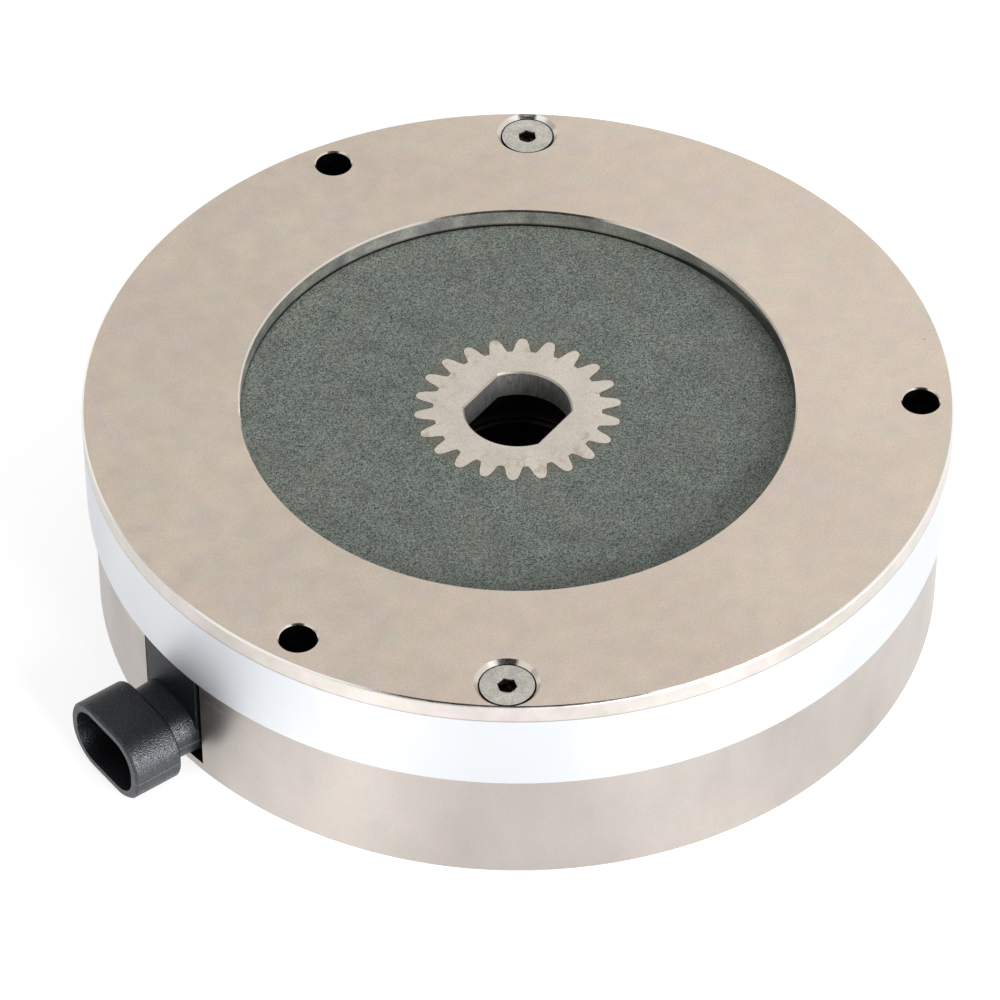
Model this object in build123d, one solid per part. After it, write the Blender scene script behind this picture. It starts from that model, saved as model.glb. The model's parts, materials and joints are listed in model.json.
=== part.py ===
from build123d import *

import math
import os

# Spring-applied, magnet-released parking brake for a golf cart motor.
# Frame: the origin is the centre of the end plate's outer face, on the shaft axis.
# +Z points out of the brake, so all solids lie at z <= 0. The connector points along -X.
# All sizes are in millimetres and all angles in degrees, counted from +X.

# End plate: the flat mounting face with the round window
plate_radius = 75.0
plate_thickness = 3.5
plate_edge_chamfer = 0.35
window_edge_chamfer = 0.3
friction_band = 12.15

# Mounting holes, which pass through the whole brake
mount_hole_radius = 3.2
mount_hole_count = 3
mount_hole_angle = 201.3
mount_hole_edge_distance = 5.7
mount_hole_chamfer = 0.25

# Countersunk cover screws
screw_count = 2
screw_angle = 51.3
screw_thread_radius = 2.5
screw_head_radius = 4.55
screw_head_edge = 0.25
screw_recess = 0.65
screw_engagement = 7.5
screw_socket_flats = 3.0
screw_socket_depth = 1.9
screw_socket_lead_in = 0.28
screw_turn_step = 11.0
screw_hole_clearance = 0.25
screw_thread_clearance = 0.05
screw_seat_clearance = 0.05
tapped_hole_run_out = 2.0
drill_point_angle = 118.0

# Spacer ring between the end plate and the magnet body
ring_wall = 7.5
ring_boss_radius = 6.2
ring_boss_blend = 2.5

# Friction disc
disc_thickness = 6.2
disc_boss_clearance = 3.1

# Splined hub
tooth_count = 22
tooth_module = 1.5
pressure_angle = 20.0
tooth_addendum = 0.93
tooth_dedendum = 1.27
tooth_tip_crown = 0.5
tooth_root_flat = 0.45
spline_clearance = 0.08
hub_angle = 17.2
hub_end_clearance = 0.6
shaft_bore_radius = 9.25
shaft_bore_flats = 15.6
shaft_bore_chamfer = 0.3

# Armature plate
armature_thickness = 7.9
armature_gap = 0.4
armature_side_clearance = 0.35
armature_bore_step = 1.0

# Magnet body
magnet_height = 22.8
magnet_step = 1.15
magnet_bore_radius = 12.0
magnet_bore_chamfer = 0.8
magnet_edge_chamfer = 0.3
back_iron = 5.2
coil_slot_width = 16.0
coil_slot_to_bolt_circle = 16.3

# Coil: a plastic bobbin, its winding and the resin that holds both in the slot
coil_side_clearance = 0.1
winding_clearance = 0.1
bobbin_wall = 1.0
bobbin_height = 14.6
winding_depth = 10.8
bobbin_flange_lip = 0.6
resin_recess = 0.3

# Pressure springs of square wire, drawn with flat faces between a few sections in each turn
spring_count = 6
spring_angle = 0.0
spring_outer_radius = 4.4
spring_wire = 1.4
spring_active_turns = 3.0
spring_end_turns = 0.5
spring_sections_per_turn = 8
spring_pocket_clearance = 0.4
spring_pocket_floor = 8.8

# Connector: an oval shroud on a neck, with a flange that sits in a slot of the magnet body
slot_width = 16.1
slot_floor = 1.9
slot_radial_depth = 16.0
shroud_width = 19.6
shroud_height = 13.8
shroud_corner_radius = 6.3
shroud_length = 9.3
shroud_back_fillet = 0.6
shroud_lip_chamfer = 0.4
socket_width = 16.2
socket_height = 10.8
socket_corner_radius = 4.7
socket_depth = 8.0
neck_width = 14.8
neck_height = 10.6
neck_corner_radius = 4.6
neck_length = 4.85
neck_draft = 3.0
inner_socket_width = 11.0
inner_socket_height = 6.6
inner_socket_corner_radius = 2.2
inner_socket_depth = 4.2
flange_width = 14.2
flange_thickness = 2.2
flange_foot = 4.9
flange_top_gap = 0.3
ear_width = 19.0
ear_thickness = 1.8
ear_clearance = 0.15
rear_block_width = 11.6
rear_block_height = 8.0
rear_block_length = 1.4

# Connector terminals and the coil's leads
terminal_pitch = 5.2
blade_width = 2.8
blade_thickness = 0.8
blade_tip_chamfer = 0.3
blade_reach = 9.4
blade_slot_clearance = 0.05
barrel_radius = 1.25
barrel_length = 3.0
lead_radius = 0.9
lead_flange_gap = 0.4
lead_end_gap = 0.1
lead_channel_clearance = 0.5

# Levels, from the top down
disc_top = -plate_thickness
armature_top = disc_top - disc_thickness
armature_bottom = armature_top - armature_thickness
magnet_top = armature_bottom - armature_gap
magnet_bottom = magnet_top - magnet_height
coil_slot_depth = magnet_height - back_iron
coil_slot_bottom = magnet_top - coil_slot_depth
spring_bottom = magnet_bottom + spring_pocket_floor
bobbin_bottom = coil_slot_bottom
bobbin_top = bobbin_bottom + bobbin_height
connector_axis_z = bobbin_bottom + bobbin_wall + lead_flange_gap + lead_radius

# Radii that follow from the driving dimensions
bolt_circle_radius = plate_radius - mount_hole_edge_distance
ring_inner_radius = plate_radius - ring_wall
disc_radius = bolt_circle_radius - ring_boss_radius - disc_boss_clearance
window_radius = disc_radius - friction_band
magnet_radius = plate_radius - magnet_step
coil_outer_radius = bolt_circle_radius - coil_slot_to_bolt_circle
coil_inner_radius = coil_outer_radius - coil_slot_width
bobbin_inner_radius = coil_inner_radius + coil_side_clearance
winding_radius = bobbin_inner_radius + bobbin_wall + winding_clearance + winding_depth
bobbin_flange_radius = winding_radius + bobbin_flange_lip
armature_radius = ring_inner_radius - armature_side_clearance
armature_bore_radius = magnet_bore_radius + armature_bore_step
spring_circle_radius = (magnet_bore_radius + coil_inner_radius) / 2
spring_pocket_radius = spring_outer_radius + spring_pocket_clearance

# Connector places along X, from the mouth inwards
flange_front_x = -magnet_radius
flange_back_x = flange_front_x + flange_thickness
ear_back_x = flange_back_x + ear_thickness
rear_block_back_x = ear_back_x + rear_block_length
shroud_back_x = flange_front_x - neck_length
shroud_front_x = shroud_back_x - shroud_length
slot_back_x = flange_front_x + slot_radial_depth
barrel_back_x = rear_block_back_x + barrel_length
inner_socket_floor_x = shroud_front_x + socket_depth + inner_socket_depth
blade_tip_x = inner_socket_floor_x - blade_reach
terminal_places = [-terminal_pitch / 2, terminal_pitch / 2]


def ring_points(count, radius, first_angle):
    """Points spaced evenly on a circle, with the first at first_angle."""
    angles = [math.radians(first_angle + 360.0 * index / count) for index in range(count)]
    return [(radius * math.cos(angle), radius * math.sin(angle)) for angle in angles]


mount_hole_points = ring_points(mount_hole_count, bolt_circle_radius, mount_hole_angle)
screw_points = ring_points(screw_count, bolt_circle_radius, screw_angle)
boss_points = mount_hole_points + screw_points
spring_points = ring_points(spring_count, spring_circle_radius, spring_angle)


def prism(sketch, top, bottom):
    """A flat sketch made into a solid between two levels."""
    return extrude(Pos(0, 0, bottom) * sketch, amount=top - bottom)


def ring_sketch(outer_radius, inner_radius):
    return Circle(outer_radius) - Circle(inner_radius)


def round_holes(points, radius, top, bottom):
    """Straight round cutters at the given points."""
    return prism(Sketch() + [Pos(x, y) * Circle(radius) for x, y in points], top, bottom)


def turned(profile_points):
    """A body of revolution from its half section, given as (radius, z) points."""
    corners = [(radius, 0, z) for radius, z in profile_points]
    half_section = make_face(Polyline(*corners, close=True))
    return revolve(half_section, axis=Axis.Z)


def end_plate():
    """Flat steel plate that closes the brake: outer face of the part, with the round window."""
    plate = turned([
        (window_radius + window_edge_chamfer, 0),
        (plate_radius - plate_edge_chamfer, 0),
        (plate_radius, -plate_edge_chamfer),
        (plate_radius, -plate_thickness),
        (window_radius, -plate_thickness),
        (window_radius, -window_edge_chamfer),
    ])
    plate -= round_holes(mount_hole_points, mount_hole_radius, 0, -plate_thickness)
    entry = turned([
        (0, 0),
        (mount_hole_radius + mount_hole_chamfer, 0),
        (mount_hole_radius, -mount_hole_chamfer),
        (0, -mount_hole_chamfer),
    ])
    plate -= [Pos(x, y) * entry for x, y in mount_hole_points]
    plate -= [Pos(x, y) * countersink() for x, y in screw_points]
    return plate


def countersink():
    """Cutter for one cover screw: a 90 degree seat that runs into the shank's hole."""
    shank_hole = screw_thread_radius + screw_hole_clearance
    rim_radius = screw_head_radius + screw_head_edge + screw_recess + screw_seat_clearance
    return turned([
        (0, 0),
        (rim_radius, 0),
        (shank_hole, shank_hole - rim_radius),
        (shank_hole, -plate_thickness),
        (0, -plate_thickness),
    ])


def cover_screw(x, y, turn):
    """Countersunk screw with a hexagon socket, from the plate down into the magnet body."""
    head_top = -screw_recess
    edge_bottom = head_top - screw_head_edge
    head_bottom = edge_bottom - (screw_head_radius - screw_thread_radius)
    tip = magnet_top - screw_engagement
    screw = turned([
        (0, head_top),
        (screw_head_radius, head_top),
        (screw_head_radius, edge_bottom),
        (screw_thread_radius, head_bottom),
        (screw_thread_radius, tip),
        (0, tip),
    ])
    socket = RegularPolygon(screw_socket_flats / 2, 6, major_radius=False)
    screw -= prism(socket, head_top, head_top - screw_socket_depth)
    lead_in_radius = screw_socket_flats / 2 + screw_socket_lead_in
    screw -= turned([(0, head_top), (lead_in_radius, head_top), (0, head_top - lead_in_radius / 2)])
    return Pos(x, y) * Rot(0, 0, turn) * screw


def spacer_ring():
    """Aluminium ring with an inner boss round each mounting hole and each screw."""
    outline = ring_sketch(plate_radius, ring_inner_radius)
    bosses = Sketch() + [Pos(x, y) * Circle(ring_boss_radius) for x, y in boss_points]
    outline += bosses & Circle(plate_radius)
    corners = outline.vertices().filter_by(lambda v: math.hypot(v.X, v.Y) < plate_radius - ring_wall / 2)
    outline = fillet(corners, radius=ring_boss_blend)
    ring = prism(outline, disc_top, magnet_top)
    ring -= round_holes(mount_hole_points, mount_hole_radius, disc_top, magnet_top)
    ring -= round_holes(screw_points, screw_thread_radius + screw_hole_clearance, disc_top, magnet_top)
    return ring


def involute(angle):
    return math.tan(angle) - angle


def polar(radius, angle):
    return (radius * math.cos(angle), radius * math.sin(angle))


def spline_outline(clearance):
    """Toothed outline of the hub, grown by a clearance for the disc that slides on it."""
    pitch_radius = tooth_module * tooth_count / 2
    base_radius = pitch_radius * math.cos(math.radians(pressure_angle))
    tip_radius = pitch_radius + tooth_addendum * tooth_module
    root_radius = pitch_radius - tooth_dedendum * tooth_module
    flank_end = tip_radius - tooth_tip_crown
    pitch_angle = 2 * math.pi / tooth_count
    root_half_angle = tooth_root_flat / root_radius

    def half_angle(radius):
        flank = involute(math.radians(pressure_angle)) - involute(math.acos(base_radius / radius))
        return pitch_angle / 4 + flank + clearance / radius

    flank_radii = [base_radius, (base_radius + flank_end) / 2, flank_end]
    edges = []
    for index in range(tooth_count):
        centre = math.radians(hub_angle) + index * pitch_angle
        rising = [polar(radius, centre - half_angle(radius)) for radius in flank_radii]
        falling = [polar(radius, centre + half_angle(radius)) for radius in reversed(flank_radii)]
        next_base = polar(base_radius, centre + pitch_angle - half_angle(base_radius))
        valley = centre + pitch_angle / 2
        root_start = polar(root_radius + clearance, valley - root_half_angle)
        root_end = polar(root_radius + clearance, valley + root_half_angle)
        edges += Polyline(*rising).edges()
        edges.append(ThreePointArc(rising[-1], polar(tip_radius + clearance, centre), falling[0]))
        edges += Polyline(*falling, root_start, root_end, next_base).edges()
    return make_face(edges)


def spline_hub():
    """Toothed steel hub with a double-D bore for the motor shaft, chamfered at both ends."""
    bore = Circle(shaft_bore_radius) & Rectangle(2 * shaft_bore_radius, shaft_bore_flats)
    outline = spline_outline(0) - Rot(0, 0, hub_angle) * bore
    hub = prism(outline, disc_top, armature_top + hub_end_clearance)
    ends = hub.faces().filter_by(Axis.Z)
    bore_edges = [edge for end in ends for edge in end.inner_wires()[0].edges()]
    return chamfer(bore_edges, length=shaft_bore_chamfer)


def friction_disc():
    """Moulded friction disc, with an inner spline that slides on the hub's teeth."""
    return prism(Circle(disc_radius) - spline_outline(spline_clearance), disc_top, armature_top)


def armature_plate():
    """Steel plate that the magnet pulls down, held from turning by the ring's bosses."""
    outline = ring_sketch(armature_radius, armature_bore_radius)
    notch_radius = ring_boss_radius + armature_side_clearance
    outline -= [Pos(x, y) * Circle(notch_radius) for x, y in boss_points]
    corners = outline.vertices().filter_by(lambda v: math.hypot(v.X, v.Y) > ring_inner_radius - ring_boss_radius)
    outline = fillet(corners, radius=ring_boss_blend + armature_side_clearance)
    return prism(outline, armature_top, armature_bottom)


def magnet_body():
    """Steel pot of the magnet: back iron, two poles, coil slot, spring pockets and connector slot."""
    body = turned([
        (magnet_bore_radius, magnet_top),
        (magnet_radius, magnet_top),
        (magnet_radius, magnet_bottom + magnet_edge_chamfer),
        (magnet_radius - magnet_edge_chamfer, magnet_bottom),
        (magnet_bore_radius + magnet_bore_chamfer, magnet_bottom),
        (magnet_bore_radius, magnet_bottom + magnet_bore_chamfer),
    ])
    body -= prism(ring_sketch(coil_outer_radius, coil_inner_radius), magnet_top, coil_slot_bottom)
    body -= round_holes(spring_points, spring_pocket_radius, magnet_top, spring_bottom)
    body -= round_holes(mount_hole_points, mount_hole_radius, magnet_top, magnet_bottom)
    body -= tapped_holes()
    body -= connector_slot()
    return body - lead_channel()


def tapped_holes():
    """Blind holes for the cover screws, with the drill's cone at the bottom."""
    radius = screw_thread_radius + screw_thread_clearance
    bottom = magnet_top - screw_engagement - tapped_hole_run_out
    cone_height = radius / math.tan(math.radians(drill_point_angle / 2))
    hole = turned([
        (0, magnet_top),
        (radius, magnet_top),
        (radius, bottom),
        (0, bottom - cone_height),
    ])
    return [Pos(x, y) * hole for x, y in screw_points]


def block(x_low, x_high, width, z_low, z_high):
    """A box centred on the XZ plane."""
    box = Box(x_high - x_low, width, z_high - z_low, align=(Align.MIN, Align.CENTER, Align.MIN))
    return Pos(x_low, 0, z_low) * box


def connector_slot():
    """Slot in the magnet body's wall, open at the top, with a groove on each side for the ears."""
    floor = magnet_bottom + slot_floor
    slot = block(-plate_radius, slot_back_x, slot_width, floor, magnet_top)
    groove_width = ear_width + 2 * ear_clearance
    groove = block(flange_back_x - ear_clearance, ear_back_x + ear_clearance, groove_width, floor, magnet_top)
    return slot + groove


def lead_channel():
    """Passage for both leads from the connector slot, through the wall, to the coil's winding."""
    height = 2 * (lead_radius + lead_channel_clearance)
    section = SlotOverall(terminal_pitch + height, height)
    return along_x(section, slot_back_x, -winding_radius, connector_axis_z)


def along_x(section, x_low, x_high, z_centre):
    """A section drawn with its width along Y and its height along Z, made into a solid along X."""
    start = Plane((x_low, 0, z_centre), x_dir=(0, 1, 0), z_dir=(1, 0, 0))
    return extrude(start * section, amount=x_high - x_low)


def coil_bobbin():
    """Plastic spool that carries the winding: an inner wall and two flanges."""
    return turned([
        (bobbin_inner_radius, bobbin_bottom),
        (bobbin_flange_radius, bobbin_bottom),
        (bobbin_flange_radius, bobbin_bottom + bobbin_wall),
        (bobbin_inner_radius + bobbin_wall, bobbin_bottom + bobbin_wall),
        (bobbin_inner_radius + bobbin_wall, bobbin_top - bobbin_wall),
        (bobbin_flange_radius, bobbin_top - bobbin_wall),
        (bobbin_flange_radius, bobbin_top),
        (bobbin_inner_radius, bobbin_top),
    ])


def coil_winding():
    """The copper winding as one solid ring between the bobbin's flanges."""
    outline = ring_sketch(winding_radius, winding_radius - winding_depth)
    return prism(outline, bobbin_top - bobbin_wall, bobbin_bottom + bobbin_wall)


def coil_resin():
    """Cast resin over and round the bobbin, a little below the poles' faces."""
    outer_radius = coil_outer_radius - coil_side_clearance
    skirt_radius = bobbin_flange_radius + coil_side_clearance
    resin = turned([
        (bobbin_inner_radius, magnet_top - resin_recess),
        (outer_radius, magnet_top - resin_recess),
        (outer_radius, coil_slot_bottom),
        (skirt_radius, coil_slot_bottom),
        (skirt_radius, bobbin_top),
        (bobbin_inner_radius, bobbin_top),
    ])
    return resin - lead_channel()


def pressure_spring(x, y):
    """Spring from its pocket's floor to the armature plate, with a flat half turn at each end."""
    turns = spring_active_turns + 2 * spring_end_turns
    section_count = round(turns * spring_sections_per_turn)
    sections = [spring_section(turns * index / section_count) for index in range(section_count + 1)]
    faces = [flat_face(sections[0]), flat_face(sections[-1])]
    for section, next_section in zip(sections, sections[1:]):
        for corner in range(4):
            following = (corner + 1) % 4
            faces.append(flat_face([section[corner], section[following], next_section[following]]))
            faces.append(flat_face([section[corner], next_section[following], next_section[corner]]))
    return Pos(x, y) * Solid(Shell(faces))


def spring_section(turn):
    """The four corners of the wire's square section after a number of turns."""
    length = armature_bottom - spring_bottom
    active_share = min(max((turn - spring_end_turns) / spring_active_turns, 0), 1)
    low = spring_bottom + active_share * (length - spring_wire)
    high = low + spring_wire
    outer = polar(spring_outer_radius, 2 * math.pi * turn)
    inner = polar(spring_outer_radius - spring_wire, 2 * math.pi * turn)
    return [(*outer, low), (*outer, high), (*inner, high), (*inner, low)]


def flat_face(corners):
    return make_face(Polyline(*corners, close=True))


def connector_housing():
    """Plastic connector body: shroud, neck, flange, side ears and rear block, with a stepped socket."""
    floor = magnet_bottom + slot_floor
    top = magnet_top - flange_top_gap
    housing = connector_shroud()
    housing += connector_neck()
    housing += block(flange_front_x, flange_back_x, flange_width, floor + flange_foot, top)
    housing += block(flange_back_x, ear_back_x, ear_width, floor, top)
    rear = Rectangle(rear_block_width, rear_block_height)
    housing += along_x(rear, ear_back_x, rear_block_back_x, connector_axis_z)
    inner = RectangleRounded(inner_socket_width, inner_socket_height, inner_socket_corner_radius)
    housing -= along_x(inner, shroud_front_x, inner_socket_floor_x, connector_axis_z)
    blade_slots = blade_sections(blade_width + 2 * blade_slot_clearance, blade_thickness + 2 * blade_slot_clearance)
    return housing - along_x(blade_slots, inner_socket_floor_x, rear_block_back_x, connector_axis_z)


def connector_shroud():
    """Oval collar round the mating socket, rounded at its back."""
    outline = RectangleRounded(shroud_width, shroud_height, shroud_corner_radius)
    shroud = along_x(outline, shroud_front_x, shroud_back_x, connector_axis_z)
    shroud = fillet(shroud.faces().sort_by(Axis.X)[-1].edges(), radius=shroud_back_fillet)
    shroud = chamfer(shroud.faces().sort_by(Axis.X)[0].edges(), length=shroud_lip_chamfer)
    socket = RectangleRounded(socket_width, socket_height, socket_corner_radius)
    return shroud - along_x(socket, shroud_front_x, shroud_front_x + socket_depth, connector_axis_z)


def connector_neck():
    """Neck between the flange and the shroud, with a little draft towards the shroud."""
    start = Plane((flange_back_x, 0, connector_axis_z), x_dir=(0, 1, 0), z_dir=(-1, 0, 0))
    root = RectangleRounded(neck_width, neck_height, neck_corner_radius)
    return extrude(start * root, amount=flange_back_x - shroud_back_x, taper=neck_draft)


def blade_sections(width, thickness):
    """The cross-sections of both terminals, side by side."""
    return Sketch() + [Pos(y, 0) * Rectangle(width, thickness) for y in terminal_places]


def connector_terminal(y):
    """Flat blade with a crimp barrel behind the housing."""
    blade = along_x(Rectangle(blade_width, blade_thickness), blade_tip_x, rear_block_back_x, connector_axis_z)
    tip_edges = blade.faces().sort_by(Axis.X)[0].edges()
    blade = chamfer(tip_edges, length=blade_tip_chamfer)
    barrel = along_x(Circle(barrel_radius), rear_block_back_x, barrel_back_x, connector_axis_z)
    return Pos(0, y, 0) * (blade + barrel)


def lead_wire(y):
    """Insulated lead, straight from a terminal's barrel through the passage to the winding."""
    end_x = -math.sqrt(winding_radius ** 2 - y ** 2) - lead_end_gap
    return Pos(0, y, 0) * along_x(Circle(lead_radius), barrel_back_x, end_x, connector_axis_z)


def all_pieces():
    pieces = {
        "end_plate": end_plate(),
        "spacer_ring": spacer_ring(),
        "magnet_body": magnet_body(),
        "friction_disc": friction_disc(),
        "spline_hub": spline_hub(),
        "armature_plate": armature_plate(),
        "coil_bobbin": coil_bobbin(),
        "coil_winding": coil_winding(),
        "coil_resin": coil_resin(),
        "connector_housing": connector_housing(),
    }
    for index, (x, y) in enumerate(screw_points, start=1):
        pieces[f"cover_screw_{index}"] = cover_screw(x, y, screw_turn_step * (index - 1))
    for index, (x, y) in enumerate(spring_points, start=1):
        pieces[f"pressure_spring_{index}"] = pressure_spring(x, y)
    for index, y in enumerate(terminal_places, start=1):
        pieces[f"connector_terminal_{index}"] = connector_terminal(y)
        pieces[f"lead_wire_{index}"] = lead_wire(y)
    return pieces


def write_parts():
    os.makedirs("parts", exist_ok=True)
    for name, piece in all_pieces().items():
        piece.label = name
        export_step(piece, f"parts/{name}.step")


write_parts()
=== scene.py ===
import json
import math

import bpy
from mathutils import Matrix, Vector


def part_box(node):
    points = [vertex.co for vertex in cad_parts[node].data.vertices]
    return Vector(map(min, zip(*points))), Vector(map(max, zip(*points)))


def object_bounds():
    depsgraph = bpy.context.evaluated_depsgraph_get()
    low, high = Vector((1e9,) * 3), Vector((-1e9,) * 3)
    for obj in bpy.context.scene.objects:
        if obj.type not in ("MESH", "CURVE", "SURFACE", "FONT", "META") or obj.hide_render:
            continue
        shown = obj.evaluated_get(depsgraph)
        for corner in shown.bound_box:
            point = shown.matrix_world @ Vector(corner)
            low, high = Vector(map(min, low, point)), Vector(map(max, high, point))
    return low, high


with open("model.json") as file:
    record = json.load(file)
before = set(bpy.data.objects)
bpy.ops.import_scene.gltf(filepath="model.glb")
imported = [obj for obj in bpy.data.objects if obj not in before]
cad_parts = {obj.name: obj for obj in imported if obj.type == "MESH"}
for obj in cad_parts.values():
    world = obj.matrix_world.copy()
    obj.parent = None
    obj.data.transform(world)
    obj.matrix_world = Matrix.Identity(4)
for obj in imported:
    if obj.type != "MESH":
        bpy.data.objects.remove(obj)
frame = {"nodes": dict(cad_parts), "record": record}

CAD_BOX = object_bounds()
NODES = frame["nodes"]
MOUNTS = {entry["name"]: entry for entry in frame["record"]["mounts"]}
MILLIMETRES = 1000.0

# Places on the part that the materials follow, in mm, read from the frame
PLATE_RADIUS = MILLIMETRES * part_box("end_plate")[1].x
PLATE_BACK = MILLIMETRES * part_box("end_plate")[0].z
MAGNET_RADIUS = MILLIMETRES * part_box("magnet_body")[1].x
HUB_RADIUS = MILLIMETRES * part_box("spline_hub")[1].x
SCREW_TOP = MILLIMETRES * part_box("cover_screw_1")[1].z
CONNECTOR_LEVEL = MILLIMETRES * MOUNTS["connector_socket"]["pos_m"][2]

# Radii in mm. The inner walls of the plate and the ring lie within PLATE_INSIDE, and the plate's holes
# beyond PLATE_HOLES. The hub's bore lies within HUB_BORE, and its teeth beyond HUB_TEETH.
PLATE_INSIDE = PLATE_RADIUS - 0.5
PLATE_HOLES = PLATE_RADIUS - 20
MAGNET_INSIDE = MAGNET_RADIUS - 0.5
HUB_BORE = HUB_RADIUS / 1.8
HUB_TEETH = HUB_RADIUS / 1.3

# Flatness of a face, between a wall and a chamfer and between a chamfer and a flat face
WALL_LIMITS = (0.3, 0.5)
FLAT_LIMITS = (0.85, 0.95)

# Sockets of Blender's Mix node, when it mixes colours
MIX_FACTOR = 0
MIX_COLOURS = (6, 7)
MIX_RESULT = 2

# Camera, solved from the photo's concentric circles. Its place and clip distances are in metres, its
# angles in degrees, and its lens and sensor in mm.
CAMERA_PLACE = Vector((-0.42917, -0.56237, 0.65608))
CAMERA_HEADING = -37.1
CAMERA_ELEVATION = 43.931
CAMERA_ROLL = -0.06
CAMERA_LENS = 201.844
CAMERA_SENSOR = 36.0
CAMERA_CLIP = (0.05, 50.0)

# Floor, in metres. The drum reflects its two brighter zones, each an azimuth in degrees and a gain.
FLOOR_HALF_SIZE = 3.0
FLOOR_GAP = 0.00005
FLOOR_GREY = 0.4
FLOOR_LIFT = 0.75
FLOOR_ZONES = ((-155, 0.6), (-99, 0.35))
FLOOR_ZONE_HALF_WIDTH = 20

# The floor is dark under the rear bore. Its light fades in between these shares of the bore's radius.
BORE_RADIUS = MOUNTS["rear_bore"]["dims"]["r_mm"] / MILLIMETRES
BORE_FADE = (1.1, 1.4)

# Strength of the world's light, as it is seen or reflected and as it lights the object
WORLD_SEEN = 1.0
WORLD_LIGHT = 0.72

# The dark side of the studio behind the camera, and its dim left side. Polished edges reflect both.
# Name, azimuth, elevation, width, height, grey.
CARD_DISTANCE = 1.35
CARDS = (
    ("dark_card", -128, 45, 1.3, 0.75, 0.01),
    ("dim_card", 128, 26, 1.0, 0.6, 0.8),
)

# Name, azimuth, elevation, distance, size, power in watts
LAMPS = (
    ("front_softbox", -88, 15, 1.1, 0.6, 18.0),
    ("near_softbox", 30, 35, 0.5, 0.3, 0.11),
)


class Nodes:
    """A node tree, built up from small named steps."""

    def __init__(self, tree):
        self.tree = tree

    def add(self, kind, **inputs):
        """A node with some of its inputs set to values or linked to other nodes' outputs."""
        node = self.tree.nodes.new(kind)
        for name, value in inputs.items():
            self.plug(node.inputs[name.replace("_", " ")], value)
        return node

    def plug(self, socket, value):
        """Links a socket to another node's output, or sets it to a value."""
        if isinstance(value, bpy.types.NodeSocket):
            self.tree.links.new(value, socket)
        else:
            socket.default_value = value

    def math(self, operation, first, second=0.0, third=0.0):
        """The result of an operation on numbers or on other nodes' outputs."""
        node = self.tree.nodes.new("ShaderNodeMath")
        node.operation = operation
        for socket, value in zip(node.inputs, (first, second, third)):
            self.plug(socket, value)
        return node.outputs[0]

    def spread(self, value, low, high, to_low=0.0, to_high=1.0):
        """A value's range from low to high, spread over another range and held at its ends."""
        node = self.add("ShaderNodeMapRange", Value=value)
        for name, number in zip(("From Min", "From Max", "To Min", "To Max"), (low, high, to_low, to_high)):
            node.inputs[name].default_value = number
        return node.outputs["Result"]

    def seen_rays(self, strength, otherwise):
        """A strength for rays from the camera, a reflection or a transmission, and another for the rest."""
        path = self.add("ShaderNodeLightPath").outputs
        direct = self.math("MAXIMUM", path["Is Camera Ray"], path["Is Glossy Ray"])
        seen = self.math("MAXIMUM", direct, path["Is Transmission Ray"])
        return self.spread(seen, 0, 1, otherwise, strength)


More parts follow.
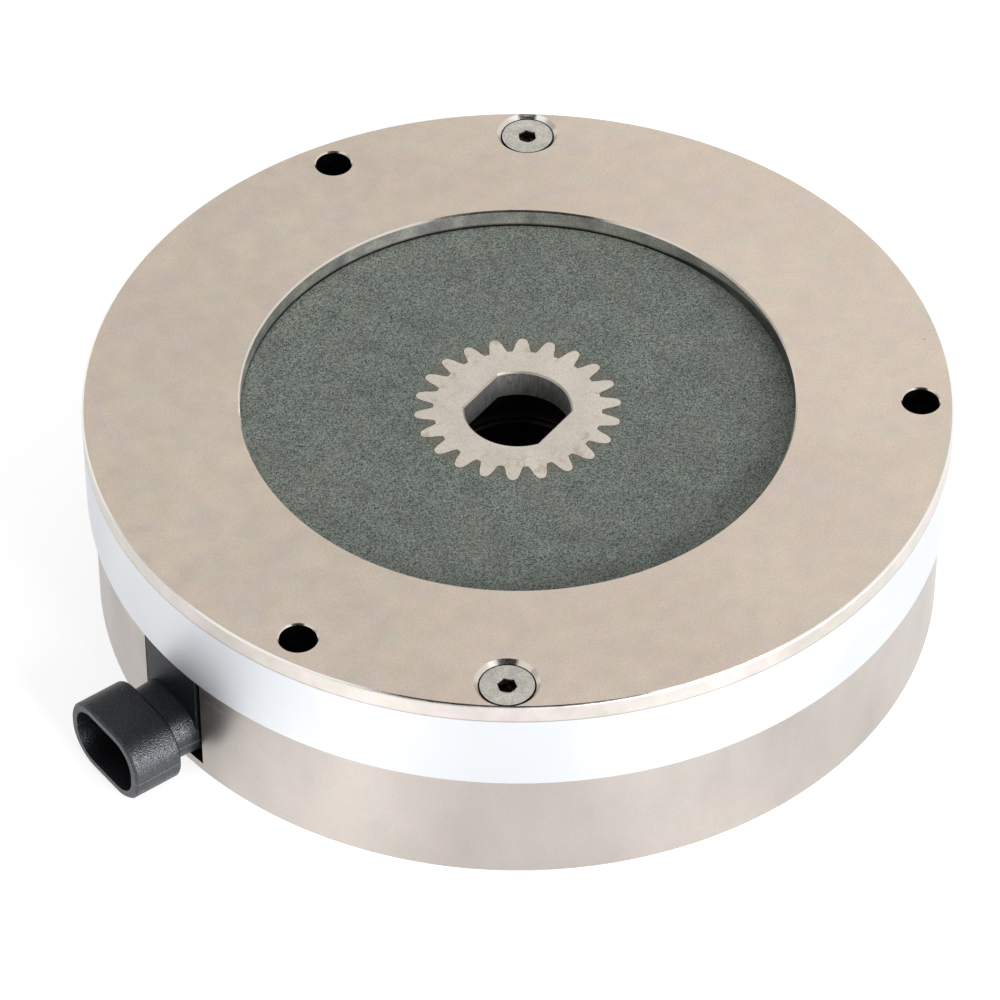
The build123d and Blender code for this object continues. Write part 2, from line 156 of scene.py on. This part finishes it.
class Surface(Nodes):
    """A material with a Principled shader. Its lengths are in mm and its angles in radians."""

    def __init__(self, name, metallic):
        self.material = bpy.data.materials.new(name)
        self.material.use_nodes = True
        super().__init__(self.material.node_tree)
        self.shader = self.tree.nodes["Principled BSDF"]
        self.shader.inputs["Metallic"].default_value = metallic
        coordinates = self.add("ShaderNodeTexCoord").outputs["Object"]
        scaled = self.add("ShaderNodeMapping", Vector=coordinates, Scale=(MILLIMETRES,) * 3)
        self.place = scaled.outputs["Vector"]
        across, along, self.level = self.add("ShaderNodeSeparateXYZ", Vector=self.place).outputs
        squares = self.math("MULTIPLY_ADD", across, across, self.math("MULTIPLY", along, along))
        self.radius = self.math("SQRT", squares)
        self.angle = self.math("ARCTAN2", along, across)

    def round_place(self, along_radius, along_angle, along_level):
        """The place in coordinates round the shaft axis, each with its own stretch."""
        radius = self.math("MULTIPLY", self.radius, along_radius)
        angle = self.math("MULTIPLY", self.angle, along_angle)
        level = self.math("MULTIPLY", self.level, along_level)
        return self.add("ShaderNodeCombineXYZ", X=radius, Y=angle, Z=level).outputs[0]

    def flatness(self):
        """0 on upright walls, about 0.7 on chamfers and 1 on flat faces."""
        normal = self.add("ShaderNodeNewGeometry").outputs["True Normal"]
        return self.math("ABSOLUTE", self.add("ShaderNodeSeparateXYZ", Vector=normal).outputs["Z"])

    def upright(self):
        """1 on upright walls and 0 on flat and sloped faces."""
        return self.spread(self.flatness(), *WALL_LIMITS, 1, 0)

    def sloped(self):
        """1 on chamfers and countersinks, and 0 on walls and flat faces."""
        flatness = self.flatness()
        off_walls = self.spread(flatness, *WALL_LIMITS)
        off_flats = self.spread(flatness, *FLAT_LIMITS, 1, 0)
        return self.math("MULTIPLY", off_walls, off_flats)

    def inner_walls(self, limit):
        """1 on upright walls that lie nearer to the shaft axis than a limit."""
        return self.math("MULTIPLY", self.upright(), self.spread(self.radius, limit, limit - 0.1))

    def noise(self, size, detail=2, roughness=0.5, at=None, distortion=0.0):
        """Noise with features of about one size, as a value about 0.5."""
        vector = self.place if at is None else at
        node = self.add("ShaderNodeTexNoise", Vector=vector, Scale=1.0 / size, Detail=detail,
                        Roughness=roughness, Distortion=distortion)
        return node.outputs["Fac"]

    def vary(self, noise, low=0.0, high=1.0, reach=0.2):
        """Noise as a value that varies from low to high. A smaller reach gives it more contrast."""
        return self.spread(noise, 0.5 - reach, 0.5 + reach, low, high)

    def stains(self, noise, strength, start=0.5):
        """Up to a strength where noise is high, and 0 where it is under its start."""
        return self.spread(noise, start, 0.7, 0, strength)

    def spots(self, size):
        """Distance to the nearest of many scattered points, as a share of their spacing."""
        return self.add("ShaderNodeTexVoronoi", Vector=self.place, Scale=1.0 / size).outputs["Distance"]

    def specks(self, size, core, edge, strength):
        """A strength on scattered round specks, whose core and edge are shares of their spacing."""
        return self.spread(self.spots(size), core, edge, strength, 0)

    def grains(self, size):
        """A random value for each of many small grains, between 0 and 1."""
        colour = self.add("ShaderNodeTexVoronoi", Vector=self.place, Scale=1.0 / size).outputs["Color"]
        return self.add("ShaderNodeSeparateXYZ", Vector=colour).outputs["X"]

    def blend(self, factor, first, second):
        """A colour between two others."""
        node = self.tree.nodes.new("ShaderNodeMix")
        node.data_type = "RGBA"
        self.plug(node.inputs[MIX_FACTOR], factor)
        for index, colour in zip(MIX_COLOURS, (first, second)):
            linked = isinstance(colour, bpy.types.NodeSocket)
            self.plug(node.inputs[index], colour if linked else (*colour, 1))
        return node.outputs[MIX_RESULT]

    def shade(self, colour, factor):
        """A colour made darker or lighter by a factor."""
        node = self.tree.nodes.new("ShaderNodeVectorMath")
        node.operation = "SCALE"
        self.plug(node.inputs[0], colour)
        self.plug(node.inputs["Scale"], factor)
        return node.outputs[0]

    def finish(self, colour, roughness, gloss=0.5):
        """Gives the shader its colour, its roughness and the strength of its plain reflections."""
        self.plug(self.shader.inputs["Base Color"], colour)
        self.plug(self.shader.inputs["Roughness"], roughness)
        self.plug(self.shader.inputs["Specular IOR Level"], gloss)

    def relief(self, height, depth):
        """Bump from a height of 0 to 1 that stands for a depth."""
        bump = self.add("ShaderNodeBump", Height=height, Distance=depth / MILLIMETRES)
        self.plug(self.shader.inputs["Normal"], bump.outputs["Normal"])

    def coat(self, node_names):
        """Puts the material on some of the part's pieces."""
        for name in node_names:
            materials = NODES[name].data.materials
            materials.clear()
            materials.append(self.material)


def nickel_plate():
    """Satin nickel over ground steel, with bright bevels, and painted shade in the holes, under the screw
    heads and at the foot of the window's wall.
    """
    s = Surface("satin_nickel_plate", metallic=1)
    patches = s.noise(4.5, detail=3, roughness=0.6)
    greens = s.noise(6, distortion=0.5)
    grain = s.noise(0.35, roughness=0.7)
    window = s.inner_walls(PLATE_INSIDE)
    walls = s.blend(s.upright(), plate_face(s, patches, greens, grain), plate_rim(s, patches, greens))
    lined = s.blend(window, walls, window_wall(s, patches, grain))
    at_rim = s.spread(s.radius, PLATE_RADIUS - 2, PLATE_RADIUS - 1)
    bevels = s.blend(at_rim, (0.68, 0.62, 0.56), (0.88, 0.85, 0.81))
    edged = s.blend(s.sloped(), lined, bevels)
    # Painted shade: nearly black in the bolt holes, under the screw heads and at the window wall's foot
    shaded = s.blend(plate_shadows(s), edged, (0.03, 0.026, 0.024))
    smoothness = s.math("ADD", s.math("MULTIPLY", burnished(s), 0.22), s.math("MULTIPLY", window, 0.06))
    s.finish(shaded, roughness=s.math("SUBTRACT", s.vary(patches, 0.36, 0.44), smoothness))
    s.relief(grain, depth=0.008)
    s.coat(["end_plate"])


def plate_face(s, patches, greens, grain):
    """The face's warm colour, with soft clouds, green and violet stains and a few pin marks."""
    clouds = s.noise(30, distortion=0.4)
    violets = s.noise(7, distortion=0.8)
    tone = s.blend(s.vary(clouds, reach=0.15), (0.525, 0.445, 0.37), (0.56, 0.478, 0.397))
    greenish = s.blend(s.stains(greens, 0.6), tone, (0.5, 0.47, 0.395))
    tinted = s.blend(s.stains(violets, 0.6), greenish, (0.525, 0.435, 0.405))
    mottled = s.shade(tinted, s.vary(patches, 0.94, 1.06))
    grained = s.shade(mottled, s.vary(grain, 0.9, 1.1))
    return s.blend(s.specks(15, core=0.012, edge=0.02, strength=0.5), grained, (0.25, 0.2, 0.16))


def plate_rim(s, patches, greens):
    """The rim's paler colour, with a darker line along its lower edge."""
    tone = s.blend(s.vary(greens, reach=0.08), (0.69, 0.625, 0.605), (0.65, 0.614, 0.558))
    lower_line = s.spread(s.level, PLATE_BACK + 0.1, PLATE_BACK + 0.3, 0.6, 1)
    return s.shade(tone, s.math("MULTIPLY", s.vary(patches, 0.93, 1.07), lower_line))


def window_wall(s, patches, grain):
    """The pale and mottled colour of the window's wall."""
    soiled = s.blend(s.vary(patches, reach=0.1), (0.62, 0.585, 0.6), (0.82, 0.8, 0.735))
    return s.shade(soiled, s.vary(grain, 0.75, 1.25))


def burnished(s):
    """1 on the countersinks and on the upper part of the plate's edges, which are the smoothest."""
    upper = s.spread(s.level, -0.25, -0.15)
    off_rim = s.spread(s.radius, PLATE_RADIUS - 0.4, PLATE_RADIUS - 0.6)
    return s.math("MULTIPLY", s.sloped(), s.math("MAXIMUM", upper, off_rim))


def plate_shadows(s):
    """Painted shade: 1 in the bolt holes, under the screw heads and at the foot of the window's wall."""
    seats = s.math("MULTIPLY", s.sloped(), s.spread(s.level, SCREW_TOP, SCREW_TOP - 0.05))
    in_holes = s.spread(s.radius, PLATE_HOLES, PLATE_HOLES + 1)
    holes = s.math("MULTIPLY", s.inner_walls(PLATE_INSIDE), in_holes)
    return s.math("MAXIMUM", s.math("MAXIMUM", seats, window_shade(s)), holes)


def window_shade(s):
    """Shade at the foot of the window's wall, low and dark on one side, high and paler on the other."""
    low_angle = 0.35
    paler_angle = 0
    high_angle = -0.3
    top = s.spread(s.angle, low_angle, high_angle, 0.3, 2.6)
    over_top = s.math("SUBTRACT", s.math("SUBTRACT", s.level, PLATE_BACK), top)
    strength = s.spread(s.angle, low_angle, paler_angle, 1, 0.72)
    shade = s.math("MULTIPLY", s.spread(over_top, 0.5, 0), strength)
    return s.math("MULTIPLY", s.inner_walls(PLATE_INSIDE), shade)


def bright_ring():
    """Aluminium with a fine even turning, bright outside, with its inner walls painted dark as shade."""
    s = Surface("bright_aluminium_ring", metallic=1)
    turning = s.noise(1, detail=4, roughness=0.7, at=s.round_place(3, 2, 9))
    clouds = s.noise(18)
    bright = s.blend(s.vary(clouds), (0.7, 0.72, 0.75), (0.738, 0.754, 0.778))
    # Painted shade: the inner walls are dark grey
    lined = s.blend(s.inner_walls(PLATE_INSIDE), bright, (0.1, 0.1, 0.1))
    s.finish(lined, roughness=s.vary(turning, 0.4, 0.48))
    s.relief(turning, depth=0.002)
    s.coat(["spacer_ring"])


def turned_body():
    """Nickel-plated turned steel: soft upright streaks on the wall and turning rings on the flat faces,
    with painted shade making the bore's inner walls nearly black.
    """
    s = Surface("satin_turned_steel", metallic=1)
    turning = s.noise(1, detail=3, roughness=0.6, at=s.round_place(2.2, 1.5, 4))
    streaks = s.noise(1, detail=3, roughness=0.55, at=s.round_place(0.05, 6, 0.03))
    rings = s.noise(1, detail=4, roughness=0.7, at=s.round_place(1.2, 0.15, 0))
    clouds = s.noise(22, detail=3)
    greens = s.noise(9, detail=3, distortion=0.6)
    grain = s.noise(0.4, roughness=0.7)
    tone = s.blend(s.vary(clouds, reach=0.15), (0.42, 0.38, 0.353), (0.495, 0.447, 0.413))
    ringed = s.shade(tone, s.vary(rings, 0.94, 1.06))
    greenish = s.blend(s.stains(greens, 0.7), ringed, (0.45, 0.43, 0.385))
    marks = s.math("MULTIPLY", s.vary(streaks, 0, 0.7), s.upright())
    streaked = s.blend(marks, greenish, (0.54, 0.495, 0.465))
    grained = s.shade(streaked, s.vary(grain, 0.95, 1.05))
    # Painted shade: the inner walls of the bore are nearly black
    lined = s.blend(s.inner_walls(MAGNET_INSIDE), grained, (0.02, 0.018, 0.017))
    s.finish(lined, roughness=s.vary(turning, 0.3, 0.38))
    s.relief(turning, depth=0.003)
    s.coat(["magnet_body"])


def friction_compound():
    """Moulded friction compound: grey-green, matt, with fine light and dark grains, and darker and browner
    close to the hub.
    """
    s = Surface("grey_green_friction_compound", metallic=0)
    grain = s.grains(0.19)
    clouds = s.noise(5, detail=3, roughness=0.6)
    browns = s.noise(9, distortion=0.6)
    base = s.blend(grain, (0.017, 0.024, 0.019), (0.226, 0.256, 0.222))
    cloudy = s.shade(base, s.vary(clouds, 0.85, 1.15))
    tinted = s.blend(s.stains(browns, 0.2), cloudy, (0.15, 0.135, 0.12))
    chipped = s.blend(s.specks(1.4, core=0.06, edge=0.1, strength=0.6), tinted, (0.45, 0.47, 0.44))
    # The compound turns darker and browner close to the hub
    browned_near_hub = s.spread(s.radius, HUB_RADIUS + 0.5, HUB_RADIUS - 1.5, 0, 0.45)
    s.finish(s.blend(browned_near_hub, chipped, (0.12, 0.1, 0.07)), roughness=0.72)
    s.relief(grain, depth=0.02)
    s.coat(["friction_disc"])


def sintered_hub():
    """Fine ground steel with a pale grain, faint stains on the teeth and a broached bore."""
    s = Surface("ground_sintered_steel", metallic=1)
    grain = s.noise(0.38, roughness=0.7)
    clouds = s.noise(6, detail=3)
    blotches = s.noise(2.2, detail=3, distortion=0.8)
    broaching = s.noise(1, detail=3, roughness=0.7, at=s.round_place(3, 20, 0.4))
    tone = s.blend(s.vary(clouds), (0.51, 0.467, 0.41), (0.58, 0.532, 0.465))
    porous = s.blend(s.specks(1.5, core=0.05, edge=0.09, strength=0.3), tone, (0.3, 0.25, 0.2))
    on_teeth = s.spread(s.radius, HUB_BORE, HUB_TEETH)
    stained_teeth = s.math("MULTIPLY", s.stains(blotches, 0.5, start=0.55), on_teeth)
    stained = s.blend(stained_teeth, porous, (0.33, 0.27, 0.19))
    grained = s.shade(stained, s.vary(grain, 0.86, 1.14))
    edged = s.blend(s.sloped(), grained, (0.4, 0.37, 0.33))
    bore = s.blend(s.vary(broaching), (0.4, 0.4, 0.39), (0.72, 0.71, 0.69))
    s.finish(s.blend(s.inner_walls(HUB_BORE), edged, bore), roughness=s.vary(grain, 0.38, 0.52))
    s.relief(grain, depth=0.012)
    s.coat(["spline_hub"])


def screw_steel():
    """Zinc-plated screw heads with a fine glitter, darker upright edges and sockets painted dark as shade.
    """
    s = Surface("zinc_plated_screw_steel", metallic=1)
    glitter = s.grains(0.2)
    clouds = s.noise(2.5)
    socket_mottle = s.noise(0.7)
    tone = s.blend(s.vary(clouds, reach=0.15), (0.4, 0.385, 0.35), (0.5, 0.475, 0.425))
    glittering = s.shade(tone, s.spread(glitter, 0, 1, 0.8, 1.2))
    edged = s.blend(s.upright(), glittering, (0.3, 0.28, 0.25))
    # Painted shade: the socket is nearly black, mottled with dark grey
    socket = s.blend(s.spread(socket_mottle, 0.45, 0.6), (0.02, 0.017, 0.015), (0.2, 0.165, 0.15))
    sunk = s.spread(s.level, SCREW_TOP - 0.4, SCREW_TOP - 0.6)
    s.finish(s.blend(sunk, edged, socket), roughness=0.38)
    s.relief(glitter, depth=0.01)
    s.coat(["cover_screw_1", "cover_screw_2"])


def toned(colour, factor):
    """A fixed colour made darker or lighter by a factor."""
    return tuple(factor * part for part in colour)


def plain_metals():
    """Armature, springs and terminals."""
    pieces = [
        ("phosphated_armature_steel", (0.05, 0.048, 0.046), 0.5, ["armature_plate"]),
        ("oiled_spring_steel", (0.32, 0.32, 0.33), 0.3, [f"pressure_spring_{i}" for i in range(1, 7)]),
        ("tin_plated_brass", (0.75, 0.73, 0.69), 0.28, ["connector_terminal_1", "connector_terminal_2"]),
    ]
    for name, colour, roughness, node_names in pieces:
        s = Surface(name, metallic=1)
        grain = s.noise(0.3, detail=4, roughness=0.7)
        s.finish(s.blend(s.vary(grain), toned(colour, 0.82), colour),
                 roughness=s.vary(grain, roughness - 0.06, roughness + 0.1))
        s.relief(grain, depth=0.008)
        s.coat(node_names)


def copper_coil():
    """Enamelled copper, wound in fine layers."""
    s = Surface("enamelled_copper_winding", metallic=1)
    layers = s.noise(0.5, at=s.round_place(1, 0.4, 2.5))
    s.finish(s.blend(s.vary(layers, reach=0.15), (0.48, 0.18, 0.08), (0.78, 0.37, 0.2)), roughness=0.3)
    s.relief(layers, depth=0.1)
    s.coat(["coil_winding"])


def connector_plastic():
    """Spark-eroded black nylon: a hard fine grain, with the mould's parting line near half height, painted
    as a thin lighter line that stands for the highlight on its seam.
    """
    s = Surface("grained_black_nylon", metallic=0)
    s.shader.inputs["Specular Tint"].default_value = (0.9, 0.94, 1.0, 1)
    grain = s.spots(0.24)
    sparkle = s.grains(0.18)
    grained = s.blend(s.spread(grain, 0.1, 0.7), (0.002, 0.0025, 0.003), (0.008, 0.009, 0.011))
    parting_level = CONNECTOR_LEVEL - 0.4
    off_line = s.math("ABSOLUTE", s.math("SUBTRACT", s.level, parting_level))
    # Painted highlight: a thin lighter line along the parting line's seam
    lined = s.blend(s.spread(off_line, 0.1, 0.05), grained, (0.1, 0.105, 0.115))
    outside = s.spread(s.radius, MAGNET_RADIUS + 1, MAGNET_RADIUS + 2)
    rounded = s.math("MULTIPLY", s.spread(s.flatness(), 0.95, 0.5), outside)
    gloss = s.math("MULTIPLY", s.spread(rounded, 0, 1, 0.32, 0.8), s.spread(sparkle, 0, 1, 0.6, 1.4))
    s.finish(lined, roughness=s.spread(grain, 0.1, 0.7, 0.3, 0.4), gloss=gloss)
    s.relief(grain, depth=0.075)
    s.coat(["connector_housing"])


def plastics():
    """Bobbin, resin and the two leads. The size and depth of their grain are in mm."""
    pieces = [
        ("glass_filled_nylon", (0.03, 0.03, 0.03), 0.5, 0.9, 0.03, ["coil_bobbin"]),
        ("cast_epoxy", (0.03, 0.02, 0.018), 0.3, 6.0, 0.05, ["coil_resin"]),
        ("red_lead_insulation", (0.42, 0.02, 0.015), 0.42, 0.8, 0.02, ["lead_wire_1"]),
        ("black_lead_insulation", (0.02, 0.02, 0.02), 0.42, 0.8, 0.02, ["lead_wire_2"]),
    ]
    for name, colour, roughness, grain_size, depth, node_names in pieces:
        s = Surface(name, metallic=0)
        grain = s.noise(grain_size, detail=3, roughness=0.6)
        s.finish(s.blend(s.vary(grain), colour, toned(colour, 1.5)),
                 roughness=s.vary(grain, roughness - 0.05, roughness + 0.08))
        s.relief(grain, depth)
        s.coat(node_names)


def matt_material(name, grey):
    """A matt material, its nodes and the output of its shader."""
    material = bpy.data.materials.new(name)
    material.use_nodes = True
    material.node_tree.nodes.clear()
    nodes = Nodes(material.node_tree)
    return material, nodes, nodes.add("ShaderNodeBsdfDiffuse", Color=(grey, grey, grey, 1)).outputs[0]


def floor_light(nodes):
    """The floor's own light, stronger in its zones and 0 under the bore."""
    place = nodes.add("ShaderNodeTexCoord").outputs["Object"]
    distance = nodes.add("ShaderNodeVectorMath", Vector=place)
    distance.operation = "LENGTH"
    fade_start, fade_end = [share * BORE_RADIUS for share in BORE_FADE]
    off_bore = nodes.spread(distance.outputs["Value"], fade_start, fade_end)
    across, along, _ = nodes.add("ShaderNodeSeparateXYZ", Vector=place).outputs
    azimuth = nodes.math("ARCTAN2", along, across)
    factor = 1.0
    for centre, gain in FLOOR_ZONES:
        off_centre = nodes.math("ABSOLUTE", nodes.math("SUBTRACT", azimuth, math.radians(centre)))
        zone = nodes.spread(off_centre, math.radians(FLOOR_ZONE_HALF_WIDTH), 0, 0, gain)
        factor = nodes.math("ADD", factor, zone)
    glow = nodes.math("MULTIPLY", off_bore, nodes.seen_rays(FLOOR_LIFT, 0))
    return nodes.add("ShaderNodeEmission", Strength=nodes.math("MULTIPLY", glow, factor)).outputs[0]


def studio_floor():
    """A pale floor with the object's soft shadow on it, which shows as white and is clear from below."""
    bpy.ops.mesh.primitive_plane_add(size=2 * FLOOR_HALF_SIZE, location=(0, 0, CAD_BOX[0].z - FLOOR_GAP))
    floor = bpy.context.object
    floor.name = "studio_floor"
    material, nodes, paint = matt_material("studio_floor", FLOOR_GREY)
    lit = nodes.add("ShaderNodeAddShader")
    nodes.plug(lit.inputs[0], paint)
    nodes.plug(lit.inputs[1], floor_light(nodes))
    below = nodes.add("ShaderNodeNewGeometry").outputs["Backfacing"]
    sides = nodes.add("ShaderNodeMixShader", Fac=below)
    nodes.plug(sides.inputs[1], lit.outputs[0])
    nodes.plug(sides.inputs[2], nodes.add("ShaderNodeBsdfTransparent").outputs[0])
    nodes.add("ShaderNodeOutputMaterial", Surface=sides.outputs[0])
    floor.data.materials.append(material)


def studio_place(azimuth, elevation, distance):
    """A place in the studio by its direction from the object, in degrees, and its distance."""
    across = distance * math.cos(math.radians(elevation))
    height = distance * math.sin(math.radians(elevation))
    heading = math.radians(azimuth)
    return Vector((across * math.cos(heading), across * math.sin(heading), height))


def face_object(thing):
    """Turns a card or a lamp to the object."""
    thing.rotation_euler = (-thing.location).to_track_quat("-Z", "Y").to_euler()


def studio_card(name, azimuth, elevation, width, height, grey):
    """A card that faces the object, which polished edges reflect."""
    bpy.ops.mesh.primitive_plane_add(size=1, location=studio_place(azimuth, elevation, CARD_DISTANCE))
    card = bpy.context.object
    card.name = name
    card.scale = (width, height, 1)
    face_object(card)
    material, nodes, paint = matt_material(name, grey)
    nodes.add("ShaderNodeOutputMaterial", Surface=paint)
    card.data.materials.append(material)


def soft_box(name, azimuth, elevation, distance, size, power):
    """A square lamp that points at the object."""
    lamp = bpy.data.lights.new(name, "AREA")
    lamp.size = size
    lamp.energy = power
    box = bpy.data.objects.new(name, lamp)
    bpy.context.scene.collection.objects.link(box)
    box.location = studio_place(azimuth, elevation, distance)
    face_object(box)


def studio_world():
    """A white world that shows at full strength and lights the object with less."""
    world = bpy.data.worlds.new("studio_world")
    world.use_nodes = True
    nodes = Nodes(world.node_tree)
    background = world.node_tree.nodes["Background"]
    background.inputs["Color"].default_value = (1, 1, 1, 1)
    nodes.plug(background.inputs["Strength"], nodes.seen_rays(WORLD_SEEN, WORLD_LIGHT))
    bpy.context.scene.world = world


def photo_camera():
    """The camera, in the place where the photo was taken."""
    camera = bpy.data.cameras.new("photo_camera")
    camera.sensor_width = CAMERA_SENSOR
    camera.lens = CAMERA_LENS
    camera.clip_start, camera.clip_end = CAMERA_CLIP
    holder = bpy.data.objects.new("photo_camera", camera)
    bpy.context.scene.collection.objects.link(holder)
    turn = Matrix.Rotation(math.radians(CAMERA_HEADING), 4, "Z")
    tilt = Matrix.Rotation(math.radians(90 - CAMERA_ELEVATION), 4, "X")
    roll = Matrix.Rotation(math.radians(CAMERA_ROLL), 4, "Z")
    holder.matrix_world = Matrix.Translation(CAMERA_PLACE) @ turn @ tilt @ roll
    bpy.context.scene.camera = holder


def main():
    photo_camera()
    nickel_plate()
    bright_ring()
    turned_body()
    friction_compound()
    sintered_hub()
    screw_steel()
    plain_metals()
    copper_coil()
    connector_plastic()
    plastics()
    studio_floor()
    for card in CARDS:
        studio_card(*card)
    studio_world()
    for lamp in LAMPS:
        soft_box(*lamp)
    bpy.context.scene.view_settings.view_transform = "Standard"


main()
